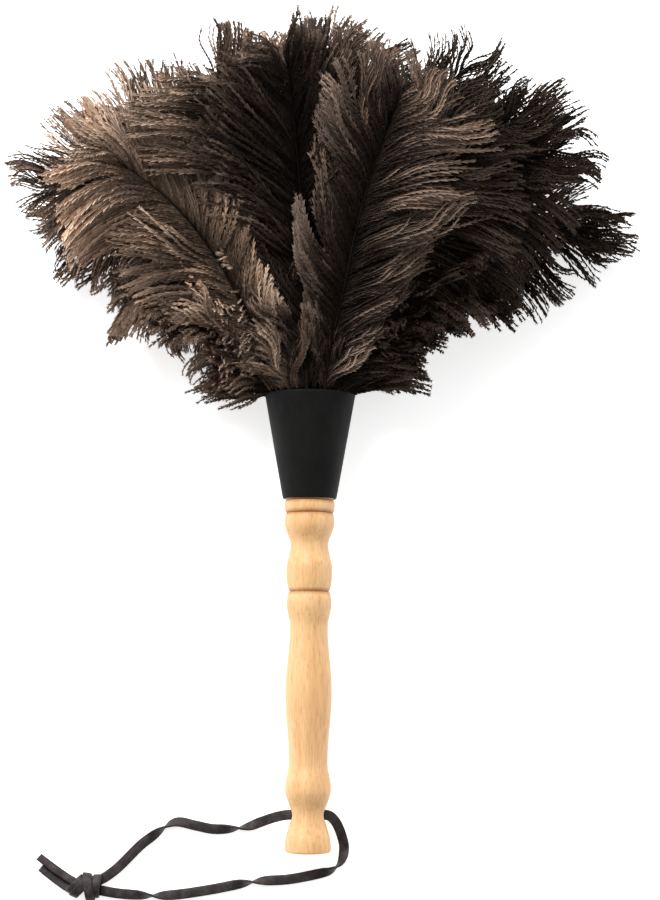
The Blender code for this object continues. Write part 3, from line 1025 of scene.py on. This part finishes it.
def both_sides(count, smallest, largest, chance):
    """A lock number for each barb, where neighbours on one side of the shaft share a lock."""
    sides = []
    for side in range(2):
        sizes = chance.integers(smallest, largest + 1, count)
        sides.append(np.repeat(np.arange(count), sizes)[:count] + side * count)
    return np.unique(np.concatenate(sides), return_inverse=True)[1]


def per_lock(locks, chance):
    """One normal random number for each lock, handed to all its barbs."""
    return chance.standard_normal(locks.max() + 1)[locks]


def per_lock_share(locks, chance):
    """One random number from 0 to 1 for each lock, handed to all its barbs."""
    return chance.random(locks.max() + 1)[locks]


def lock_means(values, locks):
    """The mean line of each barb's lock."""
    sums = np.zeros((locks.max() + 1, values.shape[1]))
    np.add.at(sums, locks, values)
    return (sums / np.bincount(locks)[:, None])[locks]


def barb_shares():
    """Places of the sections along a barb, with a short last stretch for its blunt end."""
    return np.concatenate([np.linspace(0.0, BARB_END, BARB_SECTIONS - 1), [1.0]])


def shaft_length(feather):
    """Length of the shaft beyond the sleeve's mouth."""
    return feather.length - float(look_up(TIP_ROOM, math.degrees(feather.angle) % 360.0))


def outer_side(feather):
    """The side of the shaft, 1 or -1, that faces away from the head once the feather is twisted."""
    return -math.copysign(1.0, math.cos(feather.angle) * math.sin(feather.angle))


def stray(feather, distance):
    """How far the shaft lies beside its shell's line and above its shell."""
    share = np.maximum(distance, 0.0) / feather.length
    sideways = SWING * math.sin(SWING_CHANGE * feather.seed) * share**2
    above = RISE.get(feather.name, RISE_CHANCE * math.sin(RISE_CHANGE * feather.seed))
    return sideways, above * smooth_step(share * 3.0)


def paleness(feather):
    """How pale the ends of the barbs are: the plumes on the right keep dark ends."""
    if feather.name == HERO:
        return 1.0
    return float(look_up(PALENESS, math.cos(feather.angle)))


def spread(feather, across, distance):
    """Angle round the axis by which a barb's point leaves the shaft, which stays under a limit."""
    angle = across / np.maximum(shell_radius(feather, distance, feather.angle), LEAST_RADIUS)
    outside = across * outer_side(feather) > 0.0
    limit = np.radians(np.where(outside, OUTER_SPREAD, INNER_SPREAD))
    return limit * np.tanh(angle / limit)


def lock_wave(lock, member, share, chance):
    """A wave along the barbs, the same for all barbs of a lock."""
    phase = per_lock_share(member, chance)[:, None]
    turns = mix(*WAVE_TURNS, per_lock_share(member, chance))[:, None]
    return lock.wave * share * np.sin(2.0 * math.pi * (phase + turns * share))


def draw_together(values, locks, share):
    """Bring the barbs of each lock nearer to its mean line, most at their ends."""
    for lock, member in zip(LOCKS, locks):
        pull = lock.pull * share**PULL_CURVE
        values = values + (lock_means(values, member) - values) * pull
    return values


def droop_share(feather, place, outside):
    """How much of the full droop each barb has: only the outer ones, and most at the head's sides."""
    usual = HANG_RIGHT if math.cos(feather.angle) > 0.0 else 1.0
    fade = 1.0 - smooth_step((place - HANG_FADE) / HANG_FADE_RUN)
    return outside * abs(math.cos(feather.angle)) * fade * HANG.get(feather.name, usual)


def barb_lines(feather, chance):
    """The flat layout of a feather's barbs: distance, across and lift at each section."""
    shaft = shaft_length(feather)
    count = int(shaft / BARB_SPACING[feather.ring.name])
    place = np.tile(np.linspace(0.0, 1.0, count) ** BARB_CROWDING, 2)
    side = np.repeat([1.0, -1.0], count)
    size = len(place)
    locks = [both_sides(count, lock.fewest, lock.most, chance) for lock in LOCKS]
    share = barb_shares()
    outside = side == outer_side(feather)
    base = 1.0 - smooth_step(place / BASE_RUN)
    hang = droop_share(feather, place, outside)
    stand = SIDE_ARCH * abs(math.cos(feather.angle)) * (1.0 - hang)

    growth = 1.0 + LENGTH_CHANCE * chance.standard_normal(size)
    leave = look_up(LEAVES, place) + HANG_LEAVE * hang
    leave = leave + FLUFF_LEAVE * hang * base * chance.random(size)
    arch = look_up(ARCHES, place) + HANG_ARCH * hang + stand
    leave = leave + LEAVE_CHANCE * chance.standard_normal(size)
    arch = arch + ARCH_CHANCE * chance.standard_normal(size)
    lift = LIFT_CHANCE * chance.standard_normal(size)
    lift = lift + FLUFF_LIFT * base * chance.random(size)
    sway = np.zeros((size, BARB_SECTIONS))
    heave = np.zeros((size, BARB_SECTIONS))
    for lock, member in zip(LOCKS, locks):
        growth = growth + lock.growth * per_lock(member, chance)
        arch = arch + lock.arch * per_lock(member, chance).clip(*LOCK_ARCH_LIMITS)
        lift = lift + lock.lift * per_lock(member, chance).clip(*LOCK_LIFT_LIMITS)
        sway = sway + lock_wave(lock, member, share, chance)
        heave = heave + lock_wave(lock, member, share, chance)

    course = np.radians(leave[:, None] + arch[:, None] * share)
    length = BARB_LENGTH * look_up(LENGTHS, place) * growth.clip(*LENGTH_LIMITS)
    step = length[:, None] * np.diff(share, prepend=0.0)
    distance = place[:, None] * shaft + np.cumsum(np.cos(course) * step, axis=1)
    root = 1.0 - smooth_step(place / ROOT_SCATTER_RUN)
    scatter = ROOT_SCATTER * chance.random(size) * root
    across = np.cumsum(np.sin(course) * step, axis=1) + sway + scatter[:, None]
    distance = draw_together(distance, locks, share)
    across = draw_together(across, locks, share)
    puff = PUFF * np.sin(math.pi * share) - DROOP * share**2
    puff = puff * smooth_step(place / PUFF_RUN)[:, None]
    lift = lift[:, None] * share**LIFT_CURVE + heave + puff
    shades = barb_shades(feather, outside, base, locks[-1], chance)
    return distance, across * side[:, None], lift, shades


def barb_shades(feather, outside, base, finest_locks, chance):
    """What colours each barb: two random numbers, its end's paleness, and its range on the scale."""
    hero = feather.name == HERO
    dulling = HERO_DULLING if hero else BASE_DULLING
    # partly painted shade from the neighbouring plumes, partly the plume's own tone
    inner, outer = BLEACH_AND_SHADE.get(feather.name, (1.0, 1.0))
    return Shades(
        barb=chance.random(len(base)),
        lock=per_lock_share(finest_locks, chance),
        paleness=paleness(feather) * (END_PALENESS - dulling * base),
        start=BASE_START * base + (HERO_START if hero else 0.0),
        end=np.where(outside, outer, inner),
    )


def twist(feather, distance, across, lift):
    """Turn the flat feather about its shaft, so that one at the side shows its face upwards."""
    lean = shell_lean(feather, distance, feather.angle)
    level = math.atan2(-math.cos(feather.angle), abs(math.sin(feather.angle)) + 1e-6)
    turn = np.arctan2(math.sin(level), math.cos(level) * np.cos(lean).clip(LEAST_COSINE, 1.0))
    far = smooth_step((distance - INNER_START) / INNER_RUN)
    turn = turn * np.where(across * outer_side(feather) > 0.0, FLATTEN, mix(*INNER_FLATTEN, far))
    turn = turn * (1.0 if math.sin(feather.angle) >= 0.0 else -1.0)
    turned_across = across * np.cos(turn) - lift * np.sin(turn)
    turned_lift = lift * np.cos(turn) + across * np.sin(turn)
    deepest = DEEPEST * shell_radius(feather, distance, feather.angle)
    inward = -deepest * np.tanh(-turned_lift / deepest)
    return turned_across, np.where(turned_lift < 0.0, inward, turned_lift)


def lines_on_shell(feather, distance, angle, lift):
    """Lines on the shell, with the directions across, up and ahead at each of their points."""
    centres = shell_points(feather, distance, angle, lift)
    outward = shell_points(feather, distance, angle, lift + OUTWARD_STEP) - centres
    outward = unit(outward + np.array([0.0, 0.0, 1e-5]))
    ahead = unit(np.gradient(centres, axis=1))
    across = unit(np.cross(ahead, outward))
    return centres, across, np.cross(across, ahead), ahead


def barb_lines_on_shell(feather, distance, across, lift):
    """The flat barbs twisted with their feather, wrapped on its shell and kept out of the sleeve."""
    across, lift = twist(feather, distance, across, lift)
    beside, above = stray(feather, distance)
    lift = lift + above
    angle = feather.angle + spread(feather, across + beside, distance)
    clear = feather.ring.mouth_radius + lift - SLEEVE_MOUTH_RADIUS - RIM_CLEARANCE
    nearest = ROOT_PLACE - OVERHANG * smooth_step(clear / OVERHANG_RUN)
    return lines_on_shell(feather, np.maximum(distance, nearest), angle, lift)


def slimness(root, root_run, tip):
    """Thickness at each section of a barb as a share of the fullest, from the root to the tip."""
    share = barb_shares()
    grown = mix(root, 1.0, smooth_step(share / root_run))
    return grown * mix(1.0, tip, smooth_step(share * 2.5 - 1.5))


def circle_points(degrees):
    """Points at these angles on a circle of radius 1, as distances across and up."""
    turn = np.radians(degrees)
    return np.stack([np.cos(turn), np.sin(turn)], axis=-1)


def barbule_rows(lines, first_tip, chance):
    """Points and triangles of three rows of barbules on every barb."""
    centres, side, up, ahead = lines
    barbs, sections = centres.shape[:2]
    corners = len(BARB_CORNERS)
    index = np.arange(barbs * sections * corners).reshape(barbs, sections, corners)
    grown = slimness(*BARBULE_SLIMNESS)[None, 1:, None]
    shape = (barbs, sections - 1, 1)
    tips, triangles = [], []
    for corner, sideways, upwards in BARBULE_ROWS:
        reach = BARBULE_LENGTH * grown * chance.uniform(*BARBULE_GROWTH, shape)
        aside = sideways + chance.uniform(*BARBULE_ASIDE, shape)
        above = upwards + chance.uniform(*BARBULE_ABOVE, shape)
        heading = aside * side[:, 1:] + ahead[:, 1:] * BARBULE_AHEAD + above * up[:, 1:]
        ends_at = centres[:, 1:] + reach * unit(heading)
        ends_at[..., 2] = np.maximum(ends_at[..., 2], FLOOR_GAP)
        tip_index = first_tip + np.arange(barbs * (sections - 1)).reshape(barbs, sections - 1)
        first_tip += barbs * (sections - 1)
        tips.append(ends_at.reshape(-1, 3))
        fin = np.stack([index[:, :-1, corner], index[:, 1:, corner], tip_index], axis=-1)
        triangles.append(fin.reshape(-1, 3))
    return np.concatenate(tips), np.concatenate(triangles)


def barb_layout(barbs):
    """For each vertex of the barbs: its share of the way along, its barb and its place in the row."""
    share = barb_shares()
    shape = (barbs, len(share), len(BARB_CORNERS))
    along = np.broadcast_to(share[None, :, None], shape).ravel()
    row = np.broadcast_to(np.arange(barbs)[:, None, None], shape).ravel()
    level = np.broadcast_to(np.arange(len(BARB_CORNERS)) * CORNER_STEP, shape).ravel()
    tip_along = np.tile(share[1:] + BARBULE_LEAD, barbs * len(BARBULE_ROWS))
    tip_row = np.tile(np.repeat(np.arange(barbs), len(share) - 1), len(BARBULE_ROWS))
    tip_level = np.full(len(tip_row), BARBULE_LEVEL)
    return Layout(
        np.concatenate([along, tip_along]),
        np.concatenate([row, tip_row]),
        np.concatenate([level, tip_level]),
    )


def shaft_mesh_parts(feather):
    """The feather's shaft, from its end inside the sleeve to a fine point."""
    end = shaft_length(feather) + SHAFT_OVERRUN
    distance = np.linspace(SHAFT_START, end, SHAFT_SECTIONS)[None]
    beside, lift = stray(feather, distance)
    angle = feather.angle + spread(feather, beside, distance)
    centres, across, up, _ = lines_on_shell(feather, distance, angle, lift)
    outline = circle_points(np.linspace(0.0, 360.0, SHAFT_CORNERS, endpoint=False))
    taper = SHAFT_RADIUS * (1.0 - SHAFT_TAPER * np.linspace(0.0, 1.0, SHAFT_SECTIONS))
    return sweep(centres, across, up, taper[:, None, None] * outline)


def paint_fibres(mesh, layout, shades):
    """The colour attribute that the plume material reads; the shaft after the barbs keeps 1."""
    fibre = np.ones((len(mesh.vertices), 4), np.float32)
    start, end = shades.start[layout.row], shades.end[layout.row]
    painted = slice(0, len(layout.row))
    fibre[painted, 0] = layout.along * end + (1.0 - layout.along) * start
    fibre[painted, 1] = shades.barb[layout.row]
    fibre[painted, 2] = shades.lock[layout.row]
    fibre[painted, 3] = shades.paleness[layout.row]
    attribute = mesh.attributes.new("fibre", "FLOAT_COLOR", "POINT")
    attribute.data.foreach_set("color", fibre.ravel())


def unwrap_feather(mesh, layout, barbs):
    """Texture places without overlaps: a narrow row for each barb, and the last ones for the shaft."""
    rows = barbs + SHAFT_CORNERS
    start = len(layout.row)
    shaft_share = np.repeat(np.linspace(0.0, 1.0, SHAFT_SECTIONS), SHAFT_CORNERS)
    shaft_level = np.tile(np.arange(SHAFT_CORNERS), SHAFT_SECTIONS) * SHAFT_STEP
    place = np.zeros((len(mesh.vertices), 2), np.float32)
    place[:start, 0] = BAKE_START + BAKE_RUN * layout.along
    place[:start, 1] = (layout.row + ROW_MARGIN + layout.level) / rows
    place[start:, 0] = BAKE_START + BAKE_RUN * shaft_share
    place[start:, 1] = (barbs + SHAFT_MARGIN + shaft_level) / rows
    corner_vertex = np.zeros(len(mesh.loops), np.int32)
    mesh.loops.foreach_get("vertex_index", corner_vertex)
    layer = mesh.uv_layers.new(name="OFBake")
    layer.uv.foreach_set("vector", place[corner_vertex].ravel())


def make_feather(feather, plume, horn):
    """One plume: its barbs, thin blunt tubes with barbules on them, and its shaft."""
    chance = np.random.default_rng(BARB_SEED + feather.seed)
    distance, across, lift, shades = barb_lines(feather, chance)
    lines = barb_lines_on_shell(feather, distance, across, lift)
    radius = BARB_RADIUS * slimness(*BARB_SLIMNESS)
    radius[-1] *= BLUNT_END
    outline = radius[:, None, None] * circle_points(BARB_CORNERS)
    vertices, quads, ends = sweep(*lines[:3], outline)
    tips, fins = barbule_rows(lines, len(vertices), chance)
    vertices = np.concatenate([vertices, tips])
    triangles = np.concatenate([ends, fins])
    shaft_vertices, shaft_quads, shaft_ends = shaft_mesh_parts(feather)
    start = len(vertices)
    name = feather.name.replace("feather", "plume")
    mesh = make_mesh(
        name,
        np.concatenate([vertices, shaft_vertices]),
        quads,
        triangles,
        shaft_quads + start,
        shaft_ends + start,
    )
    piece = add_piece(name, mesh, plume)
    mesh.materials.append(horn)
    material_index = np.zeros(len(mesh.polygons), np.int32)
    material_index[len(quads) + len(triangles) :] = 1
    mesh.polygons.foreach_set("material_index", material_index)
    barbs = len(distance)
    layout = barb_layout(barbs)
    paint_fibres(mesh, layout, shades)
    unwrap_feather(mesh, layout, barbs)
    stand_for(piece, feather.name)


def make_feathers():
    horn = make_shaft_horn()
    plumes = {slot: make_plume(slot) for slot in PLUME_TONES}
    for feather in list_feathers():
        make_feather(feather, plumes[feather.slot], horn)


# Room, light and camera ---


def make_floor():
    bpy.ops.mesh.primitive_plane_add(size=FLOOR_SIZE)
    floor = bpy.context.active_object
    floor.name = "studio_floor"
    material, tree, shader = new_material("studio_floor", grey(FLOOR_TONE), 0.9, 0.0)
    feed(tree, shader.inputs["Emission Color"], grey(1.0))
    feed(tree, shader.inputs["Emission Strength"], FLOOR_GLOW)
    floor.data.materials.append(material)


def make_key_light():
    """A round soft light beyond the head, on its left."""
    data = bpy.data.lights.new("key", "AREA")
    data.shape = "DISK"
    data.size = KEY_SIZE
    data.energy = KEY_POWER
    light = bpy.data.objects.new("key", data)
    light.location = KEY_PLACE
    aim = Vector(KEY_AIM) - Vector(KEY_PLACE)
    light.rotation_euler = aim.to_track_quat("-Z", "Y").to_euler()
    bpy.context.scene.collection.objects.link(light)


def make_world():
    """Soft light from all sides, brightest low down and beyond the head, on a plain white room."""
    world = bpy.data.worlds.new("studio")
    world.use_nodes = True
    tree = world.node_tree
    direction = add_node(tree, "ShaderNodeTexCoord").outputs["Generated"]
    parts = add_node(tree, "ShaderNodeSeparateXYZ", {"Vector": direction}).outputs
    height = calculate(tree, "MULTIPLY_ADD", parts["Z"], 0.25, 0.5)
    place = calculate(tree, "MULTIPLY_ADD", parts["Y"], -0.36, height)
    tone = ramp(tree, place, (0.38, grey(1.25)), (0.75, grey(0.44)), (0.95, grey(0.10)))
    seen = add_node(tree, "ShaderNodeLightPath").outputs["Is Camera Ray"]
    tone = blend_colours(tree, "MIX", seen, tone, grey(1.0))
    tree.links.new(tone, tree.nodes["Background"].inputs["Color"])
    bpy.context.scene.world = world


def make_camera():
    """Nearly straight above the duster, a little towards its butt."""
    data = bpy.data.cameras.new("camera")
    data.lens = CAMERA_LENS
    data.shift_y = CAMERA_SHIFT
    camera = bpy.data.objects.new("camera", data)
    place = Vector(axis_points(*CAMERA_PLACE))
    ahead = (Vector(axis_points(*CAMERA_AIM, 0.0)) - place).normalized()
    right = ahead.cross(Vector((0.0, 1.0, 0.0))).normalized()
    above = right.cross(ahead)
    turn = Matrix((right, above, -ahead)).transposed() @ Matrix.Rotation(CAMERA_ROLL, 3, "Z")
    camera.matrix_world = Matrix.LocRotScale(place, turn, None)
    bpy.context.scene.collection.objects.link(camera)
    bpy.context.scene.camera = camera


def main():
    bpy.context.scene.view_settings.view_transform = "Standard"
    make_world()
    make_floor()
    make_key_light()
    make_camera()
    make_lace(make_leather())
    make_handle(make_beech())
    make_sleeve(make_sleeve_black())
    finish_bindings(make_thread())
    make_feathers()


main()
